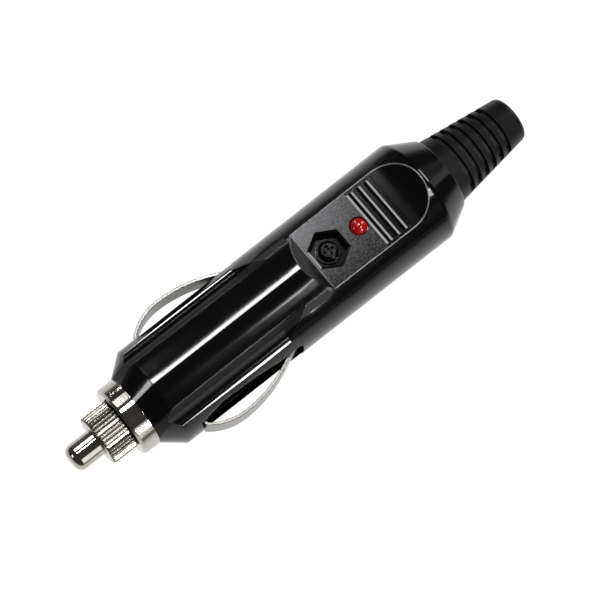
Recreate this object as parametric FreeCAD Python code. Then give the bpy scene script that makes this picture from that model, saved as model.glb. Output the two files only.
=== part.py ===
import FreeCAD, Part
import math
import os

# Cigarette lighter plug for a 12 V car socket, in millimetres.
# X runs along the plug from the contact pin (-X) to the cable boot (+X), the grip panel faces +Z.
# The origin is on the plug's axis, where the nose cone meets the barrel.

Vector = FreeCAD.Vector
X_AXIS = Vector(1, 0, 0)
Y_AXIS = Vector(0, 1, 0)
Z_AXIS = Vector(0, 0, 1)
ORIGIN = Vector(0, 0, 0)

# Fits
seat_gap = 0.05          # between pieces that are clamped or laid against each other
running_gap = 0.06       # radial clearance of the pin and of the cap's thread
free_gap = 0.3           # round anything that has to move freely
overcut = 1.0            # how far cutters reach past what they cut

# Body shells
barrel_front_r = 10.13
barrel_rear_r = 10.43
body_length = 61.0
nose_length = 3.9
shoulder_length = 5.4
shoulder_end_r = 7.45
shoulder_round = 1.6
end_round = 0.5
nose_round = 0.3
wall = 1.9
roof = 1.7               # over the wiring chamber
belly = 2.8              # under it, thicker so that the plug lies on its lower side

# Stepped flutes beside the side contacts
crown_half_width = 5.2
flute_inner_y = 6.17
flute_floor_z = 6.25
flute_root_r = 0.7       # round between a ledge and its inner wall
flute_rail_r = 2.2       # round along a ledge's outer edge
flute_rail_slope = 48.0
flute_run_out_start = 24.4
flute_run_out_angle = 24.5

# Grip panel, on both faces of the body
panel_z = 8.2
panel_foot = 36.0
panel_ramp_angle = 37.5
thumb_start = 54.2
thumb_r = 10.5
rib_first = 49.5         # crest of the first finger rib
rib_count = 3
rib_pitch = 1.74
rib_rise = 0.54          # length of each rib's front slope
rib_fall = 0.46          # and of its rear slope
rib_depth = 0.25
rib_crest_drop = 0.03    # of the crests below the panel
rib_lead = 0.51          # slope from the panel down to the first rib
rib_half_length = 5.7

# Screw, its hexagon recess and its boss
screw_x = 39.8
recess_flats = 6.1
recess_depth = 1.9
recess_lead = 0.45       # width and depth of the bevel round the recess
recess_lead_depth = 0.2
collar_wall = 0.4        # low ring round the screw's head
collar_height = 0.45
boss_floor = 1.2
boss_r = 2.6
screw_head_r = 1.85
screw_head_h = 1.25
screw_shank_r = 1.1
screw_length = 11.0
cross_length = 2.1
cross_width = 0.5
cross_depth = 0.75

# Front ring
ring_r = 7.0
ring_length = 3.45
ring_chamfer = 0.45
ring_neck_r = 5.6
ring_neck_length = 2.0
ring_flange_r = 6.5
ring_flange_length = 1.3

# Knurled cap and its washer
washer_thickness = 0.2
cap_r = 5.0
cap_length = 5.05
cap_front_round = 0.7
cap_teeth = 40
cap_tooth_depth = 0.28
cap_thread_r = 4.5
cap_thread_length = 4.6
cap_front_wall = 1.4

# Contact pin
pin_r = 2.58
pin_reach = 5.8          # how far the pin stands out of the cap
pin_dome = 1.5
pin_flange_r = 3.2
pin_flange_length = 1.3

# Fuse, its spring and its rear contact
fuse_length = 30.0
fuse_cap_r = 3.15
fuse_cap_length = 5.5
fuse_cap_wall = 0.25
fuse_glass_r = 2.85
fuse_glass_wall = 0.5
fuse_wire_r = 0.15
fuse_tunnel_r = 3.5
spring_r = 2.4
spring_wire_r = 0.3
spring_length = 8.2
spring_turns = 6
contact_disc_r = 3.9
contact_disc_thickness = 0.8
solder_tag_width = 2.8
solder_tag_thickness = 0.5
solder_tag_length = 5.4
solder_tag_drop = 1.8

# Side contacts, as the +Y one
leaf_width = 5.6
leaf_thickness = 0.5
leaf_crest_x = 11.0
leaf_crest_rise = 2.77   # heights over the barrel's nose end
leaf_front_x = 4.3
leaf_front_rise = 0.37
leaf_rear_x = 22.4
leaf_rear_rise = 0.07
leaf_toe_length = 1.9
leaf_tab_start = 26.2
leaf_tab_length = 4.0
leaf_bend_r = 0.8
slot_start = 3.35
slot_end = 26.2
slot_half_height = 3.4
pocket_y = 4.25
lip_wall = 1.15          # barrel wall left over the ends of each leaf

# Ground strap behind the fuse
strap_thickness = 0.5
strap_width = 2.0
strap_z = 0.5
strap_leg_length = 3.0

# Wiring chamber
chamber_start = 30.2
clamp_wall = 1.4
clamp_hole_r = 3.2

# Indicator lamp
led_x = 46.7
led_r = 1.7
led_rise = 0.9
led_flange_r = 2.1
led_flange_h = 1.0
led_pitch = 2.54
lead_r = 0.25
lead_z = 1.2
lead_y = 5.0
lead_bend_r = 0.6

# Series resistor
resistor_r = 1.1
resistor_start = 36.0
resistor_length = 5.5
resistor_waist = 0.2

# Locating pegs on the joint of the shells
peg_r = 0.6
peg_height = 1.4
peg_front_x = 0.3
peg_front_inset = 1.73   # from the barrel's side
peg_rear_inset = 2.4     # from the shells' rear end
peg_rear_y = 6.7

# Cable boot
boot_bore_r = 2.6
boot_flange_r = 7.2
boot_flange_length = 1.8
boot_neck_r = 5.5
boot_lip = 3.4           # shell wall that the boot's neck passes through
boot_root_r = 6.8
boot_tip_r = 4.45
boot_length = 17.5
boot_tip_round = 1.1
boot_collar = 2.3
boot_slot_count = 6
boot_slot_pitch = 1.98
boot_slot_width = 1.1
boot_slot_depth = 1.1
boot_slot_angle = 172.0

# Places that follow from the sizes above
nose_x = -nose_length
ring_front_x = nose_x - ring_length
cap_rear_x = ring_front_x - washer_thickness
cap_front_x = cap_rear_x - cap_length
cap_shoulder_x = cap_front_x + cap_front_wall
pin_tip_x = cap_front_x - pin_reach
pin_flange_x = cap_shoulder_x + seat_gap
fuse_front_x = pin_flange_x + pin_flange_length
fuse_rear_x = fuse_front_x + fuse_length
spring_rear_x = fuse_rear_x + spring_length
contact_rear_x = spring_rear_x + contact_disc_thickness
body_end_x = body_length + shoulder_length
chamber_end = body_end_x - boot_lip
chamber_r = barrel_front_r - wall
chamber_roof_z = panel_z - roof
chamber_floor_z = belly - panel_z
recess_floor_z = panel_z - recess_depth
collar_r = screw_head_r + running_gap
leaf_crest_y = barrel_front_r + leaf_crest_rise
lip_y = barrel_front_r - lip_wall
leaf_inner_y = lip_y - free_gap - leaf_thickness
strap_outer_y = leaf_inner_y - free_gap
strap_x = chamber_start + seat_gap
boot_collar_x = body_end_x + seat_gap
boot_tip_x = boot_collar_x + boot_length
clear_r = barrel_rear_r + overcut


def point(x, r):
    # A point of a profile in the XZ plane, at distance r from the plug's axis.
    return Vector(x, 0, r)


def box(x, y, z):
    # A box from three (low, high) pairs.
    size = [high - low for low, high in (x, y, z)]
    return Part.makeBox(*size, Vector(x[0], y[0], z[0]))


def rod_x(r, x):
    return Part.makeCylinder(r, x[1] - x[0], Vector(x[0], 0, 0), X_AXIS)


def rod_z(r, x, y, z):
    return Part.makeCylinder(r, z[1] - z[0], Vector(x, y, z[0]), Z_AXIS)


def rounded_edges(corners):
    # Lines through the corners, each a (point, radius) pair, with tangent arcs at the corners that have a radius.
    edges = []
    at = corners[0][0]
    for index in range(1, len(corners) - 1):
        corner, radius = corners[index]
        if radius <= 0:
            edges.append(Part.LineSegment(at, corner).toShape())
            at = corner
            continue
        back = (corners[index - 1][0] - corner).normalize()
        onward = (corners[index + 1][0] - corner).normalize()
        half = back.getAngle(onward) / 2
        inward = (back + onward).normalize()
        start = corner + back * (radius / math.tan(half))
        end = corner + onward * (radius / math.tan(half))
        middle = corner + inward * (radius / math.sin(half) - radius)
        edges.append(Part.LineSegment(at, start).toShape())
        edges.append(Part.Arc(start, middle, end).toShape())
        at = end
    edges.append(Part.LineSegment(at, corners[-1][0]).toShape())
    return edges


def revolved(corners, start_angle=0.0, angle=360.0):
    # Turns a closed profile, given as (x, r, corner radius), about the plug's axis.
    path = [(point(x, r), radius) for x, r, radius in corners]
    face = Part.Face(Part.Wire(rounded_edges(path + path[:1])))
    if start_angle:
        face.rotate(ORIGIN, X_AXIS, start_angle)
    return face.revolve(ORIGIN, X_AXIS, angle)


def mirrored(shape, normal):
    return shape.mirror(ORIGIN, normal)


def both_sides(shape, normal):
    return [shape, mirrored(shape, normal)]


# Cutters for the outside of the body


def flute_cutter():
    # A ledge with a steep inner wall, open to the side, that runs out upwards behind the leaf's slot.
    lean = (flute_inner_y - crown_half_width) / (math.sqrt(barrel_front_r**2 - crown_half_width**2) - flute_floor_z)
    top_y = flute_inner_y - (clear_r - flute_floor_z) * lean
    rail_y = math.sqrt(barrel_front_r**2 - flute_floor_z**2)
    far_y = 2 * clear_r
    far_z = flute_floor_z - (far_y - rail_y) * math.tan(math.radians(flute_rail_slope))
    outline = [
        (top_y, clear_r, 0),
        (flute_inner_y, flute_floor_z, flute_root_r),
        (rail_y, flute_floor_z, flute_rail_r),
        (far_y, far_z, 0),
        (far_y, clear_r, 0),
        (top_y, clear_r, 0),
    ]
    edges = rounded_edges([(Vector(nose_x - overcut, y, z), radius) for y, z, radius in outline])
    across = Part.Face(Part.Wire(edges)).extrude(X_AXIS * (body_length + nose_length))
    run_out_end = flute_run_out_start + (clear_r - flute_floor_z) / math.tan(math.radians(flute_run_out_angle))
    side = [(nose_x - overcut, -clear_r), (flute_run_out_start, -clear_r), (flute_run_out_start, flute_floor_z),
            (run_out_end, clear_r), (nose_x - overcut, clear_r)]
    corners = [point(x, z) for x, z in side]
    along = Part.Face(Part.makePolygon(corners + corners[:1])).extrude(Y_AXIS * (clear_r + overcut))
    return across.common(along)


def panel_cutter():
    # Everything above the grip panel: front ramp, flat and the thumb scoop that rises to the body's rear edge.
    rise = clear_r - panel_z
    ramp_top = point(panel_foot - rise / math.tan(math.radians(panel_ramp_angle)), clear_r)
    foot = point(panel_foot, panel_z)
    scoop = point(thumb_start, panel_z)
    turn = math.acos(1 - rise / thumb_r)
    scoop_middle = point(thumb_start + thumb_r * math.sin(turn / 2), panel_z + thumb_r * (1 - math.cos(turn / 2)))
    scoop_end = point(thumb_start + thumb_r * math.sin(turn), clear_r)
    edges = [
        Part.LineSegment(ramp_top, foot).toShape(),
        Part.LineSegment(foot, scoop).toShape(),
        Part.Arc(scoop, scoop_middle, scoop_end).toShape(),
        Part.LineSegment(scoop_end, ramp_top).toShape(),
    ]
    face = Part.Face(Part.Wire(edges))
    face.translate(Y_AXIS * -clear_r)
    return face.extrude(Y_AXIS * (2 * clear_r))


def rib_cutter():
    # Finger ribs across the panel: a slope down from the panel, then a row of low crests up to the thumb scoop.
    floor_z = panel_z - rib_depth
    front_x = rib_first - rib_rise
    outline = [(front_x - rib_lead, panel_z + overcut), (front_x - rib_lead, panel_z), (front_x, floor_z)]
    for index in range(rib_count):
        crest_x = rib_first + index * rib_pitch
        outline += [(crest_x - rib_rise, floor_z)] if index else []
        outline += [(crest_x, panel_z - rib_crest_drop), (crest_x + rib_fall, floor_z)]
    outline += [(thumb_start, floor_z), (thumb_start, panel_z + overcut)]
    corners = [point(x, z) for x, z in outline]
    face = Part.Face(Part.makePolygon(corners + corners[:1]))
    face.translate(Y_AXIS * -rib_half_length)
    return face.extrude(Y_AXIS * (2 * rib_half_length))


def slot_cutter():
    # The window of the +Y leaf, and the pocket behind it that the leaf is pressed into.
    window = box((slot_start, slot_end), (pocket_y, clear_r), (-slot_half_height, slot_half_height))
    pocket_x = (leaf_front_x - leaf_toe_length - free_gap, chamber_start + overcut)
    pocket = box(pocket_x, (pocket_y, lip_y), (-slot_half_height, slot_half_height))
    return window.fuse(pocket)


# Cutters for the inside of the body


def ring_seat():
    neck = rod_x(ring_neck_r + seat_gap, (nose_x - overcut, nose_x + ring_neck_length + overcut))
    flange_x = nose_x + ring_neck_length
    flange = rod_x(ring_flange_r + seat_gap, (flange_x - seat_gap, flange_x + ring_flange_length + seat_gap))
    return neck.fuse(flange)


def fuse_tunnel():
    tunnel = rod_x(fuse_tunnel_r, (nose_x, spring_rear_x + seat_gap))
    disc = rod_x(contact_disc_r + seat_gap, (spring_rear_x - seat_gap, contact_rear_x + seat_gap))
    window_y = (-solder_tag_width / 2 - free_gap, solder_tag_width / 2 + free_gap)
    window_z = (-solder_tag_drop - solder_tag_thickness - free_gap, -solder_tag_drop + free_gap)
    return tunnel.fuse([disc, box((contact_rear_x, chamber_start + overcut), window_y, window_z)])


def wiring_chamber():
    # A round chamber, flattened under the panels, with a cable clamp wall in front of the boot's flange.
    flange_x = chamber_end - boot_flange_length - 2 * seat_gap
    clamp_x = flange_x - clamp_wall
    hollow = rod_x(chamber_r, (chamber_start, clamp_x))
    flats = box((chamber_start, clamp_x), (-clear_r, clear_r), (chamber_floor_z, chamber_roof_z))
    clamp_hole = rod_x(clamp_hole_r, (clamp_x - overcut, flange_x + overcut))
    flange_seat = rod_x(boot_flange_r + seat_gap, (flange_x, chamber_end))
    neck = rod_x(boot_neck_r + seat_gap, (chamber_end - overcut, body_end_x + overcut))
    return hollow.common(flats).fuse([clamp_hole, flange_seat, neck])


def body_blank():
    # Outside of both shells together, with all that they share cut away.
    blank = revolved([
        (nose_x, 0, 0),
        (nose_x, ring_r, 0),
        (0, barrel_front_r, nose_round),
        (body_length, barrel_rear_r, shoulder_round),
        (body_end_x, shoulder_end_r, end_round),
        (body_end_x, 0, 0),
    ])
    cutters = [ring_seat(), fuse_tunnel(), wiring_chamber()] + both_sides(slot_cutter(), Y_AXIS)
    for flute in both_sides(flute_cutter(), Y_AXIS):
        cutters += both_sides(flute, Z_AXIS)
    for cutter in (panel_cutter(), rib_cutter()):
        cutters += both_sides(cutter, Z_AXIS)
    return blank.cut(cutters)


def half(side):
    reach = body_end_x + overcut
    z = (0, clear_r) if side > 0 else (-clear_r, 0)
    return box((nose_x - overcut, reach), (-clear_r, clear_r), z)


def peg_places():
    rear_x = body_end_x - peg_rear_inset
    front_y = barrel_front_r - peg_front_inset
    return [(x, sign * y) for x, y in ((peg_front_x, front_y), (rear_x, peg_rear_y)) for sign in (-1, 1)]


def hexagon_recess():
    # A hexagonal pocket with a shallow bevel round its mouth.
    corner_r = recess_flats / math.sqrt(3)
    bevel_z = panel_z - recess_lead_depth
    rings = [(recess_floor_z, corner_r), (bevel_z, corner_r), (panel_z, corner_r + recess_lead * 2 / math.sqrt(3))]
    wires = []
    for z, r in rings:
        turns = [math.radians(30 + 60 * index) for index in range(6)]
        corners = [Vector(screw_x + r * math.cos(turn), r * math.sin(turn), z) for turn in turns]
        wires.append(Part.makePolygon(corners + corners[:1]))
    pocket = Part.Face(wires[0]).extrude(Z_AXIS * (bevel_z - recess_floor_z))
    return pocket.fuse(Part.makeLoft(wires[1:], True, True))


def upper_shell():
    shell = body_blank().common(half(1))
    well_r = recess_flats / math.sqrt(3) + wall / 2
    well = rod_z(well_r, screw_x, 0, (recess_floor_z - boss_floor, panel_z - recess_lead_depth))
    boss = rod_z(boss_r, screw_x, 0, (0, recess_floor_z))
    shell = shell.fuse([well.common(body_envelope()), boss]).cut(hexagon_recess())
    collar = rod_z(collar_r + collar_wall, screw_x, 0, (recess_floor_z, recess_floor_z + collar_height))
    shell = shell.fuse(collar.cut(rod_z(collar_r, screw_x, 0, (recess_floor_z, panel_z))))
    cutters = [rod_z(screw_shank_r + free_gap, screw_x, 0, (-overcut, panel_z))]
    cutters.append(rod_z(led_r + seat_gap, led_x, 0, (0, clear_r)))
    cutters += [rod_z(peg_r + seat_gap, x, y, (-overcut, peg_height + seat_gap)) for x, y in peg_places()]
    return shell.cut(cutters).removeSplitter()


def body_envelope():
    # Keeps added bosses under the panels.
    return box((nose_x, body_end_x), (-clear_r, clear_r), (-panel_z, panel_z))


def lower_shell():
    shell = body_blank().common(half(-1))
    boss = rod_z(boss_r, screw_x, 0, (chamber_floor_z - seat_gap, 0))
    pegs = [rod_z(peg_r, x, y, (-peg_height, peg_height)) for x, y in peg_places()]
    shell = shell.fuse([boss] + pegs)
    depth = screw_length - recess_floor_z + free_gap
    return shell.cut(rod_z(screw_shank_r + seat_gap, screw_x, 0, (-depth, overcut))).removeSplitter()


# Front end


def front_ring():
    bore = cap_thread_r + running_gap
    neck_end = nose_x + ring_neck_length
    return revolved([
        (ring_front_x, bore, 0),
        (ring_front_x, ring_r - ring_chamfer, 0),
        (ring_front_x + ring_chamfer, ring_r, 0),
        (nose_x - seat_gap, ring_r, 0),
        (nose_x - seat_gap, ring_neck_r, 0),
        (neck_end, ring_neck_r, 0),
        (neck_end, ring_flange_r, 0),
        (neck_end + ring_flange_length, ring_flange_r, 0),
        (neck_end + ring_flange_length, bore, 0),
    ])


def cap_washer():
    outer = cap_r - cap_tooth_depth
    inner = cap_thread_r + running_gap / 2
    x = (cap_rear_x, ring_front_x)
    return rod_x(outer, x).cut(rod_x(inner, x))


def knurled_cap():
    # The knurl is a star of straight teeth, kept inside a turned blank with a rounded front.
    tips = []
    for index in range(2 * cap_teeth):
        r = cap_r if index % 2 == 0 else cap_r - cap_tooth_depth
        turn = math.pi * index / cap_teeth
        tips.append(Vector(cap_front_x, r * math.sin(turn), r * math.cos(turn)))
    star = Part.Face(Part.makePolygon(tips + tips[:1])).extrude(X_AXIS * cap_length)
    blank = revolved([
        (cap_front_x, 0, 0),
        (cap_front_x, cap_r, cap_front_round),
        (cap_rear_x, cap_r, 0),
        (cap_rear_x, 0, 0),
    ])
    thread_end = cap_rear_x + cap_thread_length
    thread = rod_x(cap_thread_r, (cap_rear_x - overcut, thread_end))
    pin_hole = rod_x(pin_r + running_gap, (cap_front_x - overcut, thread_end))
    chamber = rod_x(fuse_tunnel_r, (cap_shoulder_x, thread_end + overcut))
    return star.common(blank).fuse(thread).cut([pin_hole, chamber]).removeSplitter()


def contact_pin():
    flange_end = pin_flange_x + pin_flange_length
    return revolved([
        (pin_tip_x, 0, 0),
        (pin_tip_x, pin_r, pin_dome),
        (pin_flange_x, pin_r, 0),
        (pin_flange_x, pin_flange_r, 0),
        (flange_end, pin_flange_r, 0),
        (flange_end, 0, 0),
    ])


# Fuse and its circuit


def fuse_end(front):
    # A cup that opens towards the middle of the fuse.
    cup = rod_x(fuse_cap_r, (fuse_front_x, fuse_front_x + fuse_cap_length))
    hollow = rod_x(fuse_glass_r, (fuse_front_x + fuse_cap_wall, fuse_front_x + fuse_cap_length + overcut))
    cup = cup.cut(hollow)
    if front:
        return cup
    middle = Vector((fuse_front_x + fuse_rear_x) / 2, 0, 0)
    return cup.mirror(middle, X_AXIS)


def fuse_glass():
    x = (fuse_front_x + fuse_cap_wall, fuse_rear_x - fuse_cap_wall)
    return rod_x(fuse_glass_r, x).cut(rod_x(fuse_glass_r - fuse_glass_wall, x))


def fuse_wire():
    return rod_x(fuse_wire_r, (fuse_front_x + fuse_cap_wall, fuse_rear_x - fuse_cap_wall))


def fuse_spring():
    # A coil whose end turns lie just inside the spring's length.
    coil_length = spring_length - 2 * (spring_wire_r + seat_gap)
    coil = Part.makeHelix(coil_length / spring_turns, coil_length, spring_r)
    section = Part.Wire(Part.makeCircle(spring_wire_r, Vector(spring_r, 0, 0), Y_AXIS))
    spring = Part.Wire(coil.Edges).makePipeShell([section], True, True)
    spring.rotate(ORIGIN, Y_AXIS, 90)
    spring.translate(X_AXIS * (fuse_rear_x + spring_wire_r + seat_gap))
    return spring


def fuse_contact():
    # A disc behind the spring, with a solder tag that reaches into the wiring chamber.
    disc = rod_x(contact_disc_r, (spring_rear_x, contact_rear_x))
    tag = box((spring_rear_x, contact_rear_x + solder_tag_length), (-solder_tag_width / 2, solder_tag_width / 2),
              (-solder_tag_drop - solder_tag_thickness, -solder_tag_drop))
    return disc.fuse(tag).removeSplitter()


# Side contacts and their strap


def crest_arc(crest, foot, rising):
    # The arc from the crest of a leaf, where it runs along the plug, to one of its feet.
    run = foot.x - crest.x
    drop = crest.y - foot.y
    bow_r = (run**2 + drop**2) / (2 * drop)
    turn = math.asin(run / bow_r) / 2
    middle = crest + Vector(bow_r * math.sin(turn), bow_r * (math.cos(turn) - 1), 0)
    ends = (foot, crest) if rising else (crest, foot)
    return Part.Arc(ends[0], middle, ends[1]).toShape()


def side_contact(side):
    # A bowed leaf: a toe under the front lip, a steep rise, the bow, and a tab under the rear lip.
    y_tab = leaf_inner_y
    front = Vector(leaf_front_x, barrel_front_r + leaf_front_rise - leaf_thickness, 0)
    crest = Vector(leaf_crest_x, leaf_crest_y - leaf_thickness, 0)
    rear = Vector(leaf_rear_x, barrel_front_r + leaf_rear_rise - leaf_thickness, 0)
    toe = Vector(leaf_front_x - leaf_toe_length, y_tab, 0)
    toe_end = Vector(leaf_front_x - leaf_thickness / 2, y_tab, 0)
    tab = Vector(leaf_tab_start, y_tab, 0)
    tab_end = Vector(leaf_tab_start + leaf_tab_length, y_tab, 0)
    edges = rounded_edges([(toe, 0), (toe_end, leaf_bend_r), (front, 0)])
    edges.append(crest_arc(crest, front, True))
    edges.append(crest_arc(crest, rear, False))
    edges += rounded_edges([(rear, 0), (tab, leaf_bend_r), (tab_end, 0)])
    ribbon = Part.Wire(edges).makeOffset2D(-leaf_thickness, 2, True, True)
    if ribbon.BoundBox.YMax < leaf_crest_y - leaf_thickness / 2:
        ribbon = Part.Wire(edges).makeOffset2D(leaf_thickness, 2, True, True)
    ribbon.translate(Z_AXIS * (-leaf_width / 2))
    leaf = ribbon.extrude(Z_AXIS * leaf_width)
    return leaf if side > 0 else mirrored(leaf, Y_AXIS)


def ground_strap():
    # A bridge behind the fuse block, with a leg beside the tab of each leaf.
    z = (strap_z, strap_z + strap_width)
    bridge = box((strap_x, strap_x + strap_thickness), (-strap_outer_y, strap_outer_y), z)
    leg = box((strap_x - strap_leg_length, strap_x + strap_thickness),
              (strap_outer_y - strap_thickness, strap_outer_y), z)
    return bridge.fuse(both_sides(leg, Y_AXIS)).removeSplitter()


# Indicator lamp circuit


def led_lamp():
    top_z = panel_z + led_rise
    flange_top = chamber_roof_z - seat_gap
    dome_z = top_z - led_r
    lens = rod_z(led_r, led_x, 0, (flange_top - led_flange_h, dome_z))
    dome = Part.makeSphere(led_r, Vector(led_x, 0, dome_z))
    flange = rod_z(led_flange_r, led_x, 0, (flange_top - led_flange_h, flange_top))
    return lens.fuse([dome, flange]).removeSplitter()


def wire(points, bend):
    # A round wire along straight runs with bends.
    corners = [(points[0], 0)] + [(corner, bend) for corner in points[1:-1]] + [(points[-1], 0)]
    path = Part.Wire(rounded_edges(corners))
    along = (points[1] - points[0]).normalize()
    section = Part.Wire(Part.makeCircle(lead_r, points[0], along))
    return path.makePipeShell([section], True, True)


def led_leads():
    base = chamber_roof_z - seat_gap - led_flange_h
    anode = wire([
        Vector(led_x, -led_pitch / 2, base),
        Vector(led_x, -led_pitch / 2, lead_z),
        Vector(led_x, -lead_y, lead_z),
        Vector(resistor_start + resistor_length, -lead_y, lead_z),
    ], lead_bend_r)
    cathode = wire([
        Vector(led_x, led_pitch / 2, base),
        Vector(led_x, led_pitch / 2, lead_z),
        Vector(led_x, lead_y, lead_z),
        Vector(strap_x + strap_thickness, lead_y, lead_z),
    ], lead_bend_r)
    return Part.makeCompound([anode, cathode])


def resistor():
    # A body with two swollen ends.
    waist = resistor_r - resistor_waist
    bead = resistor_length / 4
    body = revolved([
        (0, 0, 0),
        (0, resistor_r, resistor_waist),
        (bead, resistor_r, resistor_waist),
        (bead + resistor_waist, waist, 0),
        (resistor_length - bead - resistor_waist, waist, 0),
        (resistor_length - bead, resistor_r, resistor_waist),
        (resistor_length, resistor_r, resistor_waist),
        (resistor_length, 0, 0),
    ])
    body.translate(Vector(resistor_start, -lead_y, lead_z))
    return body


def resistor_lead():
    # From the resistor's front end down to the top of the fuse contact's solder tag.
    tag_x = contact_rear_x + solder_tag_length - solder_tag_width / 2
    return wire([
        Vector(resistor_start, -lead_y, lead_z),
        Vector(tag_x, -lead_y, lead_z),
        Vector(tag_x, 0, lead_z),
        Vector(tag_x, 0, -solder_tag_drop),
    ], lead_bend_r)


# Screw and boot


def case_screw():
    head_top = recess_floor_z + screw_head_h
    head = rod_z(screw_head_r, screw_x, 0, (recess_floor_z, head_top))
    rim = [edge for edge in head.Edges if abs(edge.BoundBox.ZMin - head_top) < seat_gap and edge.Closed]
    head = head.makeFillet(screw_head_h / 2, rim)
    shank = rod_z(screw_shank_r, screw_x, 0, (recess_floor_z - screw_length, recess_floor_z))
    z = (head_top - cross_depth, head_top + overcut)
    long = (-cross_length / 2, cross_length / 2)
    short = (-cross_width / 2, cross_width / 2)
    arms = [box(long, short, z), box(short, long, z)]
    for arm in arms:
        arm.translate(X_AXIS * screw_x)
    return head.fuse(shank).cut(arms).removeSplitter()


def cable_boot():
    # A tapered sleeve, slit above and below so that it bends, on a neck and flange that the shells hold.
    flange_x = chamber_end - boot_flange_length - seat_gap
    sleeve = revolved([
        (flange_x, boot_bore_r, 0),
        (flange_x, boot_flange_r, 0),
        (chamber_end - seat_gap, boot_flange_r, 0),
        (chamber_end - seat_gap, boot_neck_r, 0),
        (boot_collar_x, boot_neck_r, 0),
        (boot_collar_x, boot_root_r, 0),
        (boot_tip_x, boot_tip_r, boot_tip_round),
        (boot_tip_x, boot_bore_r, 0),
    ])
    slots = []
    for index in range(boot_slot_count):
        x = boot_collar_x + boot_collar + index * boot_slot_pitch
        outer_r = boot_root_r + (boot_tip_r - boot_root_r) * (x - boot_collar_x) / boot_length
        floor_r = outer_r - boot_slot_depth
        section = [(x, floor_r, 0), (x, boot_root_r, 0), (x + boot_slot_width, boot_root_r, 0),
                   (x + boot_slot_width, floor_r, 0)]
        slot = revolved(section, -boot_slot_angle / 2, boot_slot_angle)
        slots += both_sides(slot, Z_AXIS)
    return sleeve.cut(slots)


nodes = {
    "upper_shell": upper_shell(),
    "lower_shell": lower_shell(),
    "front_ring": front_ring(),
    "cap_washer": cap_washer(),
    "knurled_cap": knurled_cap(),
    "contact_pin": contact_pin(),
    "fuse_end_front": fuse_end(True),
    "fuse_end_rear": fuse_end(False),
    "fuse_glass": fuse_glass(),
    "fuse_wire": fuse_wire(),
    "fuse_spring": fuse_spring(),
    "fuse_contact": fuse_contact(),
    "side_contact_left": side_contact(1),
    "side_contact_right": side_contact(-1),
    "ground_strap": ground_strap(),
    "led_lamp": led_lamp(),
    "led_leads": led_leads(),
    "resistor": resistor(),
    "resistor_lead": resistor_lead(),
    "case_screw": case_screw(),
    "cable_boot": cable_boot(),
}

os.makedirs("parts", exist_ok=True)
for name, shape in nodes.items():
    shape.exportStep(f"parts/{name}.step")
    print(f"{name}: {len(shape.Solids)} solid, {shape.Volume:.1f} mm3, valid {shape.isValid()}")
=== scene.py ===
import bpy
import bmesh
import math
from mathutils import Matrix, Vector


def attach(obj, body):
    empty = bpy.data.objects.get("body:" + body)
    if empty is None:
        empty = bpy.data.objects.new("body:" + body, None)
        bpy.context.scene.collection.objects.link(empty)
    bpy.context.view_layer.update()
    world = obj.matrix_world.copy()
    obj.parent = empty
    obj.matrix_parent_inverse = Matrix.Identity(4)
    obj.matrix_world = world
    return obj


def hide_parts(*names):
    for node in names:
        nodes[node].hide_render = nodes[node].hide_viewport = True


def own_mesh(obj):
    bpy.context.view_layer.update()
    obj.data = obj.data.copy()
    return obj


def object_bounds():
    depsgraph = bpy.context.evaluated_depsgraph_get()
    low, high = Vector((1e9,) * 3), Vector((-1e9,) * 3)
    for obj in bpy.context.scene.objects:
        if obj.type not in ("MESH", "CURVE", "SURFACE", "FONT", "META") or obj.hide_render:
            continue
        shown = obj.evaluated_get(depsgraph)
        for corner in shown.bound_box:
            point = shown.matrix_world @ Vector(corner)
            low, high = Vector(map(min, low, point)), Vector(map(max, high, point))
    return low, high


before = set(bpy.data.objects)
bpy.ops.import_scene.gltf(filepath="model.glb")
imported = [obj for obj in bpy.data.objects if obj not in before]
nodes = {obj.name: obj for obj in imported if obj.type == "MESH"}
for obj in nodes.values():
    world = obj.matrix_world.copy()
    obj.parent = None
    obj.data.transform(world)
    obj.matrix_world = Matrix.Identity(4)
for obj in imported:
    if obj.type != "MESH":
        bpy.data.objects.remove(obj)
cadLow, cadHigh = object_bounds()
scene = bpy.context.scene
mm = 0.001
print("plug loaded,", len(nodes), "pieces")


# small helpers for node trees

def feed(tree, value, socket):  # a socket is linked, anything else is set
    if isinstance(value, bpy.types.NodeSocket):
        tree.links.new(value, socket)
    else:
        socket.default_value = value


def calc(tree, operation, first, second=None, third=None):
    node = tree.nodes.new("ShaderNodeMath")
    node.operation = operation
    for index, value in enumerate((first, second, third)):
        if value is not None:
            feed(tree, value, node.inputs[index])
    return node.outputs[0]


def noise(tree, vector, scale, detail=3.0, rough=0.55):
    node = tree.nodes.new("ShaderNodeTexNoise")
    feed(tree, vector, node.inputs["Vector"])
    feed(tree, scale, node.inputs["Scale"])
    node.inputs["Detail"].default_value = detail
    node.inputs["Roughness"].default_value = rough
    return node.outputs["Fac"]


def spread(tree, value, low, high, toLow=0.0, toHigh=1.0):  # remaps a value, clamped
    node = tree.nodes.new("ShaderNodeMapRange")
    for label, number in (("From Min", low), ("From Max", high), ("To Min", toLow), ("To Max", toHigh)):
        feed(tree, number, node.inputs[label])
    feed(tree, value, node.inputs["Value"])
    return node.outputs["Result"]


def stretch(tree, vector, scale):
    node = tree.nodes.new("ShaderNodeMapping")
    feed(tree, vector, node.inputs["Vector"])
    node.inputs["Scale"].default_value = scale
    return node.outputs["Vector"]


def splitAxes(tree, vector):
    node = tree.nodes.new("ShaderNodeSeparateXYZ")
    tree.links.new(vector, node.inputs[0])
    return node.outputs


def roundEdges(tree, radius, samples):  # normal that is rounded near sharp edges
    node = tree.nodes.new("ShaderNodeBevel")
    node.samples = samples
    node.inputs["Radius"].default_value = radius
    return node.outputs["Normal"]


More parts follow.
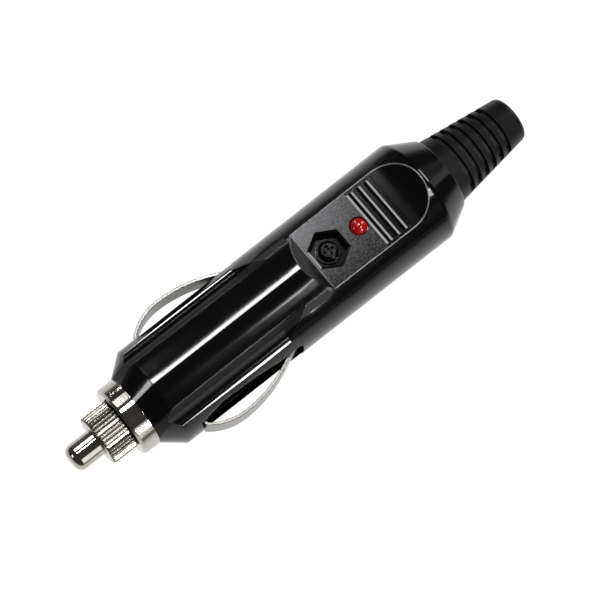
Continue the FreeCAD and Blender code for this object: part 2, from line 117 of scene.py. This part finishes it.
def blendColours(tree, amount, first, second):
    node = tree.nodes.new("ShaderNodeMix")
    node.data_type = "RGBA"
    feed(tree, amount, node.inputs["Factor"])
    feed(tree, first, node.inputs["A"])
    feed(tree, second, node.inputs["B"])
    return node.outputs["Result"]


def startGroup(name, inputs, outputs):
    group = bpy.data.node_groups.new(name, "ShaderNodeTree")
    for label, kind, value in inputs:
        socket = group.interface.new_socket(label, in_out="INPUT", socket_type=kind)
        if value is not None:
            socket.default_value = value
    for label, kind in outputs:
        group.interface.new_socket(label, in_out="OUTPUT", socket_type=kind)
    return group, group.nodes.new("NodeGroupInput").outputs, group.nodes.new("NodeGroupOutput").inputs


def placeGroup(tree, group, **values):
    node = tree.nodes.new("ShaderNodeGroup")
    node.node_tree = group
    for label, value in values.items():
        feed(tree, value, node.inputs[label])
    return node.outputs


# shared effects

grainShape = {"coarse": 0.7, "fine": 0.3, "finer": 2.7, "tone": (0.35, 0.65)}
handlingShape = {
    "smear": (0.3, 0.7), "along": (0.06, 1.0, 1.0), "lineScale": 26.0, "line": (0.69, 0.74),
    "patchScale": 2.0, "patch": (0.52, 0.66),
}
turningShape = {"along": (1.0, 0.02, 0.02), "cloudScale": 420.0, "cloud": (0.3, 0.7)}


def makeMouldGrain():  # spark-eroded grain of a mould
    shape = grainShape
    group, given, out = startGroup(
        "mouldGrain",
        [("Vector", "NodeSocketVector", None), ("Scale", "NodeSocketFloat", 5000.0)],
        [("Height", "NodeSocketFloat"), ("Tone", "NodeSocketFloat")])
    coarse = noise(group, given["Vector"], given["Scale"], 2.0, 0.6)
    fine = noise(group, given["Vector"], calc(group, "MULTIPLY", given["Scale"], shape["finer"]), 1.0)
    both = calc(group, "ADD", calc(group, "MULTIPLY", coarse, shape["coarse"]),
                calc(group, "MULTIPLY", fine, shape["fine"]))
    group.links.new(both, out["Height"])
    group.links.new(spread(group, both, *shape["tone"]), out["Tone"])
    return group


def makeHandling():  # faint smears and hairline scratches from use
    shape = handlingShape
    group, given, out = startGroup(
        "handling",
        [("Vector", "NodeSocketVector", None), ("Scale", "NodeSocketFloat", 90.0)],
        [("Smear", "NodeSocketFloat"), ("Scratch", "NodeSocketFloat")])
    smear = noise(group, given["Vector"], given["Scale"], 4.0, 0.6)
    along = stretch(group, given["Vector"], shape["along"])
    lines = noise(group, along, calc(group, "MULTIPLY", given["Scale"], shape["lineScale"]), 1.0)
    patches = noise(group, given["Vector"], calc(group, "MULTIPLY", given["Scale"], shape["patchScale"]), 2.0)
    scratch = calc(group, "MULTIPLY", spread(group, lines, *shape["line"]),
                   spread(group, patches, *shape["patch"]))
    group.links.new(spread(group, smear, *shape["smear"]), out["Smear"])
    group.links.new(scratch, out["Scratch"])
    return group


def makeTurning():  # fine rings left by turning a metal piece about the plug's axis
    shape = turningShape
    group, given, out = startGroup(
        "turning",
        [("Vector", "NodeSocketVector", None), ("Scale", "NodeSocketFloat", 9000.0)],
        [("Height", "NodeSocketFloat"), ("Cloud", "NodeSocketFloat")])
    rings = noise(group, stretch(group, given["Vector"], shape["along"]), given["Scale"], 2.0)
    cloud = noise(group, given["Vector"], shape["cloudScale"], 4.0)
    group.links.new(rings, out["Height"])
    group.links.new(spread(group, cloud, *shape["cloud"]), out["Cloud"])
    return group


mouldGrain = makeMouldGrain()
handling = makeHandling()
turning = makeTurning()


def startMaterial(name, **constants):
    material = bpy.data.materials.new(name)
    material.use_nodes = True
    tree = material.node_tree
    shader = tree.nodes["Principled BSDF"]
    for label, value in constants.items():
        shader.inputs[label.replace("_", " ")].default_value = value
    place = tree.nodes.new("ShaderNodeTexCoord").outputs["Object"]
    return material, tree, shader, place


def addBump(tree, shader, height, distance, edge=0.0):
    bump = tree.nodes.new("ShaderNodeBump")
    bump.inputs["Strength"].default_value = 1.0
    bump.inputs["Distance"].default_value = distance
    feed(tree, height, bump.inputs["Height"])
    if edge:
        tree.links.new(roundEdges(tree, edge, 6), bump.inputs["Normal"])
    tree.links.new(bump.outputs["Normal"], shader.inputs["Normal"])


def addPiece(name, shape, material):  # turns a finished bmesh into an object at the origin
    mesh = bpy.data.meshes.new(name)
    shape.to_mesh(mesh)
    shape.free()
    mesh.materials.append(material)
    piece = bpy.data.objects.new(name, mesh)
    scene.collection.objects.link(piece)
    return piece


# black body plastic: polished, with a grained grip panel on both faces

shellLook = {
    "black": (0.0015, 0.0015, 0.002, 1.0), "pits": (0.003, 0.003, 0.0035, 1.0),
    "grained": (0.2, 0.2, 0.21, 1.0), "specular": 0.44,
    "gloss": (0.09, 0.125), "scratched": 0.12, "grainRough": (0.75, 0.38), "mottle": 0.55,
    "panelX": (36.0 * mm, 48.45 * mm), "panelY": 6.38 * mm, "panelZ": (8.185 * mm, 8.215 * mm),
    # the next two entries spread painted light over the grip panel, lighter towards +Y and towards the tip
    "paintedLightX": (49.0 * mm, 35.0 * mm, 0.4, 1.0), "paintedLightY": (-6.5 * mm, 6.5 * mm),
    "fluteEnd": 35.0 * mm, "fluteY": (5.28 * mm, 6.75 * mm), "fluteTop": 8.6 * mm, "fluteRough": 0.5,
    "ledgeY": (6.2 * mm, 7.5 * mm), "ledgeTop": 6.5 * mm, "ledgeSlope": 0.21,
    "grainScale": 4200.0, "grainDepth": 0.07 * mm, "edge": 0.06 * mm, "peelScale": 260.0, "peel": 0.08,
}


def makeShellPlastic():
    look = shellLook
    material, tree, shader, place = startMaterial("shellPlastic", IOR=1.5, Specular_IOR_Level=look["specular"])
    along, toSide, toTop = splitAxes(tree, place)
    across = calc(tree, "ABSOLUTE", toSide)
    up = calc(tree, "ABSOLUTE", toTop)
    panel = calc(tree, "GREATER_THAN", along, look["panelX"][0])
    for operation, value, limit in (
            ("LESS_THAN", along, look["panelX"][1]), ("LESS_THAN", across, look["panelY"]),
            ("GREATER_THAN", up, look["panelZ"][0]), ("LESS_THAN", up, look["panelZ"][1])):
        panel = calc(tree, "MULTIPLY", panel, calc(tree, operation, value, limit))
    grain = placeGroup(tree, mouldGrain, Vector=place, Scale=look["grainScale"])
    marks = placeGroup(tree, handling, Vector=place)
    gloss = spread(tree, marks["Smear"], 0.0, 1.0, *look["gloss"])
    gloss = calc(tree, "ADD", gloss, calc(tree, "MULTIPLY", marks["Scratch"], look["scratched"]))
    # painted light: the panel is painted lighter towards +Y and towards the tip, then the mould grain's tone
    # is mixed in
    grainAndPaintedLight = calc(tree, "MULTIPLY", spread(tree, toSide, *look["paintedLightY"]), spread(tree, along, *look["paintedLightX"]))
    grainAndPaintedLight = calc(tree, "SUBTRACT", grainAndPaintedLight, look["mottle"] / 2.0)
    grainAndPaintedLight = calc(tree, "MULTIPLY_ADD", grain["Tone"], look["mottle"], grainAndPaintedLight)
    dull = spread(tree, grainAndPaintedLight, 0.0, 1.0, *look["grainRough"])
    rough = calc(tree, "ADD", calc(tree, "MULTIPLY", panel, dull),
                 calc(tree, "MULTIPLY", calc(tree, "SUBTRACT", 1.0, panel), gloss))
    flute = calc(tree, "LESS_THAN", along, look["fluteEnd"])
    for operation, value, limit in (
            ("GREATER_THAN", across, look["fluteY"][0]), ("LESS_THAN", across, look["fluteY"][1]),
            ("LESS_THAN", up, look["fluteTop"])):
        flute = calc(tree, "MULTIPLY", flute, calc(tree, operation, value, limit))
    rough = calc(tree, "ADD", rough, calc(tree, "MULTIPLY", flute, look["fluteRough"]))
    tree.links.new(rough, shader.inputs["Roughness"])
    # the panel's grey carries the painted light together with the mould grain's tone
    speckleAndPaintedLight = blendColours(tree, grainAndPaintedLight, look["pits"], look["grained"])
    tree.links.new(blendColours(tree, panel, look["black"], speckleAndPaintedLight), shader.inputs["Base Color"])
    peel = calc(tree, "MULTIPLY", noise(tree, place, look["peelScale"], 2.0), look["peel"])  # flow waviness
    height = calc(tree, "ADD", calc(tree, "MULTIPLY", grain["Height"], panel), peel)
    ledge = calc(tree, "MULTIPLY", calc(tree, "LESS_THAN", along, look["fluteEnd"]),
                 calc(tree, "LESS_THAN", up, look["ledgeTop"]))
    rise = (look["ledgeY"][1] - look["ledgeY"][0]) * look["ledgeSlope"] / look["grainDepth"]
    dish = spread(tree, toSide, *look["ledgeY"], 0.0, rise)  # the ledge is a little dished
    height = calc(tree, "MULTIPLY_ADD", ledge, dish, height)
    addBump(tree, shader, height, look["grainDepth"], look["edge"])
    return material


# nickel plated metal

nickelLook = {
    "bright": (0.62, 0.59, 0.54, 1.0), "dull": (0.5, 0.47, 0.425, 1.0), "gloss": (0.045, 0.085),
    "markScale": 160.0, "ringScale": 9000.0, "ringDepth": 0.004 * mm, "edge": 0.06 * mm,
}
knurlLook = {
    **nickelLook, "bright": (0.64, 0.61, 0.56, 1.0), "dull": (0.5, 0.47, 0.42, 1.0), "gloss": (0.18, 0.26),
    # crest, root and the last colour paint shade into the knurl's grooves
    "crest": (4.92 * mm, 4.78 * mm), "root": 4.6 * mm, "paintedGrooveShade": (0.03, 0.027, 0.022, 1.0),
}


def makeNickel(name, look):
    material, tree, shader, place = startMaterial(name, Metallic=1.0)
    rings = placeGroup(tree, turning, Vector=place, Scale=look["ringScale"])
    marks = placeGroup(tree, handling, Vector=place, Scale=look["markScale"])
    tone = blendColours(tree, rings["Cloud"], look["bright"], look["dull"])
    if "paintedGrooveShade" in look:  # painted shade between the teeth of the knurl, darker towards the roots
        split = splitAxes(tree, place)
        squares = [calc(tree, "MULTIPLY", split[axis], split[axis]) for axis in ("Y", "Z")]
        radius = calc(tree, "SQRT", calc(tree, "ADD", *squares))
        deep = calc(tree, "MULTIPLY", spread(tree, radius, *look["crest"]),
                    calc(tree, "GREATER_THAN", radius, look["root"]))
        tone = blendColours(tree, deep, tone, look["paintedGrooveShade"])
    tree.links.new(tone, shader.inputs["Base Color"])
    used = calc(tree, "MAXIMUM", marks["Smear"], marks["Scratch"])
    tree.links.new(spread(tree, used, 0.0, 1.0, *look["gloss"]), shader.inputs["Roughness"])
    addBump(tree, shader, rings["Height"], look["ringDepth"], look["edge"])
    return material


# rolled strip and drawn wire, with the grain along the plug

stripLook = {
    "along": (0.04, 1.0, 1.0), "streakScale": 8000.0, "streak": (0.35, 0.65), "streakDepth": 0.002 * mm,
    "markScale": 130.0, "smeared": 0.12,
}
# the sheared sides' colour is a painted highlight, the inner colour is painted shade on the face towards the
# body, and the last colour is painted shade along the edges
leafEdge = {
    "halfWidth": 2.79 * mm, "colour": (0.38, 0.368, 0.345, 1.0), "rough": 0.12, "edge": 0.15 * mm,
    "inner": (0.05, 0.046, 0.04, 1.0), "edgeShade": 0.22 * mm, "edgeShadeColour": (0.02, 0.019, 0.017, 1.0),
    "turned": (0.985, 0.93),
}


def findEdges(tree, radius, turned):  # 1 close to a sharp edge
    node = tree.nodes.new("ShaderNodeVectorMath")
    node.operation = "DOT_PRODUCT"
    tree.links.new(roundEdges(tree, radius, 8), node.inputs[0])
    tree.links.new(tree.nodes.new("ShaderNodeNewGeometry").outputs["Normal"], node.inputs[1])
    return spread(tree, node.outputs["Value"], *turned)


def makeStrip(name, colour, shade, gloss, cutEdge=None):
    look = stripLook
    material, tree, shader, place = startMaterial(name, Metallic=1.0)
    streaks = noise(tree, stretch(tree, place, look["along"]), look["streakScale"], 2.0)
    marks = placeGroup(tree, handling, Vector=place, Scale=look["markScale"])
    tone = blendColours(tree, spread(tree, streaks, *look["streak"]), colour, shade)
    if cutEdge:  # sheared sides are painted lighter as a painted highlight, the inner face towards the body gets painted shade, and a painted dark line of shade runs along the edges
        split = splitAxes(tree, place)
        facing = splitAxes(tree, tree.nodes["Texture Coordinate"].outputs["Normal"])
        inner = calc(tree, "MULTIPLY", facing["Y"], split["Y"])
        tone = blendColours(tree, calc(tree, "LESS_THAN", inner, 0.0), tone, cutEdge["inner"])
        side = calc(tree, "GREATER_THAN", calc(tree, "ABSOLUTE", split["Z"]), cutEdge["halfWidth"])
        tone = blendColours(tree, side, tone, cutEdge["colour"])
        edgeShade = findEdges(tree, cutEdge["edgeShade"], cutEdge["turned"])
        tone = blendColours(tree, edgeShade, tone, cutEdge["edgeShadeColour"])
        gloss = calc(tree, "MULTIPLY_ADD", side, cutEdge["rough"], gloss)
    tree.links.new(tone, shader.inputs["Base Color"])
    rough = calc(tree, "MULTIPLY_ADD", marks["Smear"], look["smeared"], gloss)
    tree.links.new(rough, shader.inputs["Roughness"])
    addBump(tree, shader, streaks, look["streakDepth"], cutEdge["edge"] if cutEdge else 0.0)
    return material


# soft black rubber of the boot and the washer

rubberLook = {
    "black": (0.0022, 0.0022, 0.0025, 1.0), "dusty": (0.005, 0.005, 0.0053, 1.0), "rough": (0.38, 0.5),
    "specular": 0.2, "grainScale": 3200.0, "grainDepth": 0.02 * mm, "edge": 0.12 * mm, "markScale": 120.0,
}


def makeRubber():
    look = rubberLook
    material, tree, shader, place = startMaterial("bootRubber", Specular_IOR_Level=look["specular"])
    grain = placeGroup(tree, mouldGrain, Vector=place, Scale=look["grainScale"])
    marks = placeGroup(tree, handling, Vector=place, Scale=look["markScale"])
    tone = blendColours(tree, marks["Smear"], look["black"], look["dusty"])
    tree.links.new(tone, shader.inputs["Base Color"])
    tree.links.new(spread(tree, marks["Smear"], 0.0, 1.0, *look["rough"]), shader.inputs["Roughness"])
    addBump(tree, shader, grain["Height"], look["grainDepth"], look["edge"])
    return material


# red lens of the lamp

lensLook = {
    "deep": (0.34, 0.003, 0.004, 1.0), "clear": (0.72, 0.012, 0.014, 1.0), "ior": 1.52, "through": 0.35,
    "coat": 0.6, "cloudScale": 900.0, "cloud": (0.35, 0.65), "rough": (0.3, 0.7, 0.05, 0.14),
    "depth": 0.01 * mm,
}


def makeLens():
    look = lensLook
    material, tree, shader, place = startMaterial(
        "lampRed", IOR=look["ior"], Transmission_Weight=look["through"], Coat_Weight=look["coat"])
    cloud = noise(tree, place, look["cloudScale"], 3.0)
    tone = blendColours(tree, spread(tree, cloud, *look["cloud"]), look["deep"], look["clear"])
    tree.links.new(tone, shader.inputs["Base Color"])
    tree.links.new(spread(tree, cloud, *look["rough"]), shader.inputs["Roughness"])
    addBump(tree, shader, cloud, look["depth"])
    return material


# blackened steel of the screw

screwLook = {
    "dark": (0.003, 0.003, 0.0034, 1.0), "rubbed": (0.024, 0.023, 0.022, 1.0), "rough": (0.2, 0.32),
    "markScale": 300.0, "grainScale": 5000.0, "grainDepth": 0.006 * mm, "edge": 0.1 * mm,
}


def makeScrewSteel():
    look = screwLook
    material, tree, shader, place = startMaterial("screwSteel", Metallic=1.0)
    marks = placeGroup(tree, handling, Vector=place, Scale=look["markScale"])
    tone = blendColours(tree, marks["Smear"], look["dark"], look["rubbed"])
    tree.links.new(tone, shader.inputs["Base Color"])
    tree.links.new(spread(tree, marks["Smear"], 0.0, 1.0, *look["rough"]), shader.inputs["Roughness"])
    addBump(tree, shader, noise(tree, place, look["grainScale"]), look["grainDepth"], look["edge"])
    return material


# hidden pieces: the fuse's glass and the resistor's lacquer

glassLook = {
    "tint": (0.9, 0.95, 0.93, 1.0), "clear": (0.98, 0.99, 0.98, 1.0), "ior": 1.5, "hazeScale": 300.0,
    "rough": (0.4, 0.8, 0.01, 0.06),
}
lacquerLook = {
    "pale": (0.62, 0.47, 0.3, 1.0), "deep": (0.5, 0.36, 0.21, 1.0), "coat": 0.3, "cloudScale": 1500.0,
    "rough": (0.3, 0.7, 0.3, 0.45), "depth": 0.02 * mm,
}


def makeFuseGlass():
    look = glassLook
    material, tree, shader, place = startMaterial("fuseGlass", IOR=look["ior"], Transmission_Weight=1.0)
    haze = noise(tree, place, look["hazeScale"])
    tree.links.new(blendColours(tree, haze, look["tint"], look["clear"]), shader.inputs["Base Color"])
    tree.links.new(spread(tree, haze, *look["rough"]), shader.inputs["Roughness"])
    return material


def makeLacquer():
    look = lacquerLook
    material, tree, shader, place = startMaterial("resistorLacquer", Coat_Weight=look["coat"])
    cloud = noise(tree, place, look["cloudScale"])
    tree.links.new(blendColours(tree, cloud, look["pale"], look["deep"]), shader.inputs["Base Color"])
    tree.links.new(spread(tree, cloud, *look["rough"]), shader.inputs["Roughness"])
    addBump(tree, shader, cloud, look["depth"])
    return material


shellPlastic = makeShellPlastic()
nickel = makeNickel("nickelPlate", nickelLook)
knurled = makeNickel("knurledNickel", knurlLook)
# the leaves' nickel is painted darker than the ring's nickel, as painted shade
shadedLeafNickel = makeStrip("shadedLeafNickel", (0.3, 0.29, 0.27, 1.0), (0.2, 0.19, 0.175, 1.0), 0.24, leafEdge)
brass = makeStrip("contactBrass", (0.78, 0.6, 0.27, 1.0), (0.64, 0.47, 0.2, 1.0), 0.22)
tinned = makeStrip("tinnedWire", (0.7, 0.7, 0.69, 1.0), (0.55, 0.55, 0.55, 1.0), 0.3)
rubber = makeRubber()
finishes = {
    "upper_shell": shellPlastic, "lower_shell": shellPlastic, "front_ring": nickel, "cap_washer": rubber,
    "knurled_cap": knurled, "contact_pin": nickel, "fuse_end_front": nickel, "fuse_end_rear": nickel,
    "fuse_glass": makeFuseGlass(), "fuse_wire": tinned, "fuse_spring": tinned, "fuse_contact": brass,
    "side_contact_left": shadedLeafNickel, "side_contact_right": shadedLeafNickel, "ground_strap": brass,
    "led_lamp": makeLens(), "led_leads": tinned, "resistor": makeLacquer(), "resistor_lead": tinned,
    "case_screw": makeScrewSteel(), "cable_boot": rubber,
}
for name, material in finishes.items():
    piece = nodes[name]
    piece.data.materials.clear()
    piece.data.materials.append(material)
print("finishes on", len(finishes), "pieces")


# rounded bead along the outline of the grip panel and the thumb scoop, on both faces

rimLook = {
    "alongX": (32.5 * mm, 62.0 * mm), "skinRadius": 10.25 * mm, "minHeight": 7.5 * mm, "sharpEdge": 14.0,
    "radius": 0.13 * mm, "sink": 0.03 * mm, "sides": 10, "step": 0.5 * mm, "merge": 0.001 * mm,
    # the next two colours are painted highlight greys for the bead
    "highlightBright": (0.26, 0.26, 0.27, 1.0), "highlightDim": (0.1, 0.1, 0.105, 1.0), "rough": (0.2, 0.34),
    "markScale": 400.0, "markDepth": 0.01 * mm,
}


def makeRimHighlight():
    look = rimLook
    material, tree, shader, place = startMaterial("paintedRimHighlight")
    marks = placeGroup(tree, handling, Vector=place, Scale=look["markScale"])
    # painted highlight: the bead is painted lighter than the black plastic so that it reads as a bright line,
    # varying with the smears
    tone = blendColours(tree, marks["Smear"], look["highlightDim"], look["highlightBright"])
    tree.links.new(tone, shader.inputs["Base Color"])
    tree.links.new(spread(tree, marks["Smear"], 0.0, 1.0, *look["rough"]), shader.inputs["Roughness"])
    addBump(tree, shader, marks["Smear"], look["markDepth"])
    return material


def findOutline(shell, facing):  # ordered points of the closed edge where the panel leaves the barrel
    look = rimLook
    shape = bmesh.new()
    shape.from_mesh(shell.data)
    bmesh.ops.remove_doubles(shape, verts=shape.verts, dist=look["merge"])
    links = {}
    for edge in shape.edges:
        if len(edge.link_faces) != 2 or math.degrees(edge.calc_face_angle()) < look["sharpEdge"]:
            continue
        ends = edge.verts
        onSkin = all(math.hypot(end.co.y, end.co.z) > look["skinRadius"] for end in ends)
        inside = all(look["alongX"][0] < end.co.x < look["alongX"][1] for end in ends)
        if onSkin and inside and all(end.co.z * facing > look["minHeight"] for end in ends):
            for one, other in (ends, reversed(ends)):
                links.setdefault(one, []).append(other)
    start = min(links, key=lambda vert: tuple(vert.co))
    chain, before, current = [start], start, links[start][0]
    while current is not start:
        chain.append(current)
        ahead = [vert for vert in links[current] if vert is not before][0]
        before, current = current, ahead
    corners = [vert.co.copy() for vert in chain]
    shape.free()
    points = []
    for index, corner in enumerate(corners):  # long runs are split so that the corners don't bend them
        ahead = corners[(index + 1) % len(corners)]
        pieces = math.ceil((ahead - corner).length / look["step"])
        points += [corner.lerp(ahead, step / pieces) for step in range(pieces)]
    return points


def makeRim(name, shell, facing):
    look = rimLook
    points = findOutline(shell, facing)
    turns = [2.0 * math.pi * step / look["sides"] for step in range(look["sides"])]
    shape = bmesh.new()
    rings = []
    for index, point in enumerate(points):
        tangent = (points[(index + 1) % len(points)] - points[index - 1]).normalized()
        outward = Vector((0.0, point.y, point.z)).normalized() + Vector((0.0, 0.0, facing))
        outward = (outward - tangent * outward.dot(tangent)).normalized()
        across = tangent.cross(outward)
        centre = point - outward * look["sink"]
        ring = [centre + (outward * math.cos(turn) + across * math.sin(turn)) * look["radius"]
                for turn in turns]
        for spot in ring:  # the bead doesn't stand out beyond the body
            spot.z = min(max(spot.z, cadLow.z), cadHigh.z)
        rings.append([shape.verts.new(spot) for spot in ring])
    for index, ring in enumerate(rings):
        ahead = rings[(index + 1) % len(rings)]
        for step in range(look["sides"]):
            beside = (step + 1) % look["sides"]
            shape.faces.new((ring[step], ring[beside], ahead[beside], ahead[step])).smooth = True
    bmesh.ops.recalc_face_normals(shape, faces=shape.faces)
    piece = addPiece(name, shape, paintedRimHighlight)
    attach(piece, "housing")
    print(name, "follows", len(points), "points")


paintedRimHighlight = makeRimHighlight()
makeRim("panelRimTop", nodes["upper_shell"], 1.0)
makeRim("panelRimBelow", nodes["lower_shell"], -1.0)


# coil of the fuse spring, which in the plug shortens as the pin is pressed in; here it is copied smooth-shaded
# onto the housing at its given length

springLook = {"rear": 28.35 * mm, "stroke": 2.5 * mm, "merge": 0.001 * mm}


def makeSpring(name, node):
    look = springLook
    shape = bmesh.new()
    shape.from_mesh(nodes[node].data)
    bmesh.ops.remove_doubles(shape, verts=shape.verts, dist=look["merge"])
    for face in shape.faces:
        face.smooth = True
    piece = addPiece(name, shape, tinned)
    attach(piece, "housing")
    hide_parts(node)
    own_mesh(piece)


makeSpring("fuseSpring", "fuse_spring")


# floor and light

stageLook = {
    "centre": (0.03, 0.0, cadLow.z - 0.02 * mm), "reach": 4.0, "segments": 64,
    "paper": (0.15, 0.15, 0.15, 1.0), "glow": 0.94, "sky": 0.05,
    "mirrorShift": (-33.0 * mm, 0.0, 0.0), "mirrorScale": (0.4, 1.0, 1.0), "mirrored": (0.1, 0.03),
}


def makePaper():  # white where it is seen or mirrored, and still lit and shaded as paper
    look = stageLook
    material = bpy.data.materials.new("paper")
    material.use_nodes = True
    tree = material.node_tree
    tree.nodes.clear()
    path = tree.nodes.new("ShaderNodeLightPath").outputs
    away = tree.nodes.new("ShaderNodeVectorMath")
    away.operation = "LENGTH"
    shift = tree.nodes.new("ShaderNodeMapping")
    shift.inputs["Location"].default_value = look["mirrorShift"]
    shift.inputs["Scale"].default_value = look["mirrorScale"]
    tree.links.new(tree.nodes.new("ShaderNodeTexCoord").outputs["Object"], shift.inputs["Vector"])
    tree.links.new(shift.outputs["Vector"], away.inputs[0])
    near = spread(tree, away.outputs["Value"], *look["mirrored"])  # the room further off is dim
    seen = calc(tree, "MAXIMUM", path["Is Camera Ray"], calc(tree, "MULTIPLY", path["Is Glossy Ray"], near))
    seen = calc(tree, "MAXIMUM", seen, path["Is Transmission Ray"])
    diffuse = tree.nodes.new("ShaderNodeBsdfDiffuse")
    diffuse.inputs["Color"].default_value = look["paper"]
    glow = tree.nodes.new("ShaderNodeEmission")
    tree.links.new(calc(tree, "MULTIPLY", seen, look["glow"]), glow.inputs["Strength"])
    both = tree.nodes.new("ShaderNodeAddShader")
    tree.links.new(diffuse.outputs[0], both.inputs[0])
    tree.links.new(glow.outputs[0], both.inputs[1])
    output = tree.nodes.new("ShaderNodeOutputMaterial")
    tree.links.new(both.outputs[0], output.inputs["Surface"])
    return material


def makeStage():
    look = stageLook
    shape = bmesh.new()
    bmesh.ops.create_circle(shape, cap_ends=True, radius=look["reach"], segments=look["segments"])
    bmesh.ops.translate(shape, verts=shape.verts, vec=look["centre"])
    floor = addPiece("floor", shape, makePaper())


makeStage()

world = bpy.data.worlds.new("studio")
world.use_nodes = True
sky = world.node_tree.nodes["Background"].inputs
sky["Color"].default_value = (1.0, 1.0, 1.0, 1.0)
sky["Strength"].default_value = stageLook["sky"]
scene.world = world

# each lamp: lean towards +X and +Y in degrees, distance, size along X and across, radiance
lampAim = Vector((33.0 * mm, 0.0, 0.0))
lamps = {
    "topStrip": {"lean": (9.0, 17.0), "away": 0.6, "size": (0.22, 0.05), "radiance": 34.0},
    "frontStrip": {"lean": (16.5, -24.0), "away": 0.6, "size": (0.14, 0.04), "radiance": 12.0},
    "rimLamp": {"lean": (15.3, -29.0), "away": 0.6, "size": (0.05, 0.16), "radiance": 30.0},
    "rightRail": {"lean": (8.0, -64.0), "away": 0.6, "size": (0.048, 0.2), "radiance": 50.0},
    "leftRail": {"lean": (8.0, 79.0), "away": 0.6, "size": (0.048, 0.1), "radiance": 38.0},
    "backLow": {"lean": (63.0, 14.0), "away": 0.6, "size": (0.13, 0.22), "radiance": 9.0},
    "tipLow": {"lean": (-61.0, 36.0), "away": 0.6, "size": (0.12, 0.07), "radiance": 14.0},
    "shoulderCard": {"lean": (84.0, 10.0), "away": 0.6, "size": (0.2, 0.3), "radiance": 0.7},
    "tipCard": {"lean": (-1.5, -69.0), "away": 0.6, "size": (0.12, 0.44), "radiance": 1.2},
    "tipTop": {"lean": (-0.5, 43.0), "away": 0.6, "size": (0.08, 0.26), "radiance": 4.0},
}


def addLamp(name, look):
    data = bpy.data.lights.new(name, "AREA")
    data.shape = "RECTANGLE"
    data.size, data.size_y = look["size"]
    data.energy = look["radiance"] * math.pi * data.size * data.size_y
    lamp = bpy.data.objects.new(name, data)
    scene.collection.objects.link(lamp)
    leanX, leanY = (math.radians(angle) for angle in look["lean"])
    outward = Vector((math.sin(leanX), math.cos(leanX) * math.sin(leanY), math.cos(leanX) * math.cos(leanY)))
    side = (Vector((1.0, 0.0, 0.0)) - outward * outward.x).normalized()
    turn = Matrix((side, outward.cross(side), outward)).transposed()
    lamp.matrix_world = Matrix.Translation(lampAim + outward * look["away"]) @ turn.to_4x4()


for name, look in lamps.items():
    addLamp(name, look)
print("stage lit by", len(lamps), "lamps")


# camera at the photograph's angle

shot = {
    "aim": Vector((32.38 * mm, 0.0, 0.0)), "away": 0.448, "tipward": 12.0, "sideways": 10.0, "turn": 38.148,
    "lens": 150.0, "sensor": 36.0, "offset": (5.9, -13.0), "frame": 600.0, "clip": 0.01,
}


def addCamera():
    tip, side = math.radians(shot["tipward"]), math.radians(shot["sideways"])
    back = Vector((-math.sin(tip), -math.cos(tip) * math.sin(side), math.cos(tip) * math.cos(side)))
    along = (Vector((1.0, 0.0, 0.0)) - back * back.x).normalized()
    across = back.cross(along)
    turn = math.radians(shot["turn"])
    right = along * math.cos(turn) - across * math.sin(turn)
    up = along * math.sin(turn) + across * math.cos(turn)
    pixel = shot["away"] * shot["sensor"] / shot["lens"] / shot["frame"]
    eye = shot["aim"] + back * shot["away"] + (right * shot["offset"][0] + up * shot["offset"][1]) * pixel
    data = bpy.data.cameras.new("camera")
    data.lens = shot["lens"]
    data.sensor_width = shot["sensor"]
    data.clip_start = shot["clip"]
    camera = bpy.data.objects.new("camera", data)
    scene.collection.objects.link(camera)
    camera.matrix_world = Matrix.Translation(eye) @ Matrix((right, up, back)).transposed().to_4x4()
    scene.camera = camera


addCamera()
scene.view_settings.view_transform = "Standard"
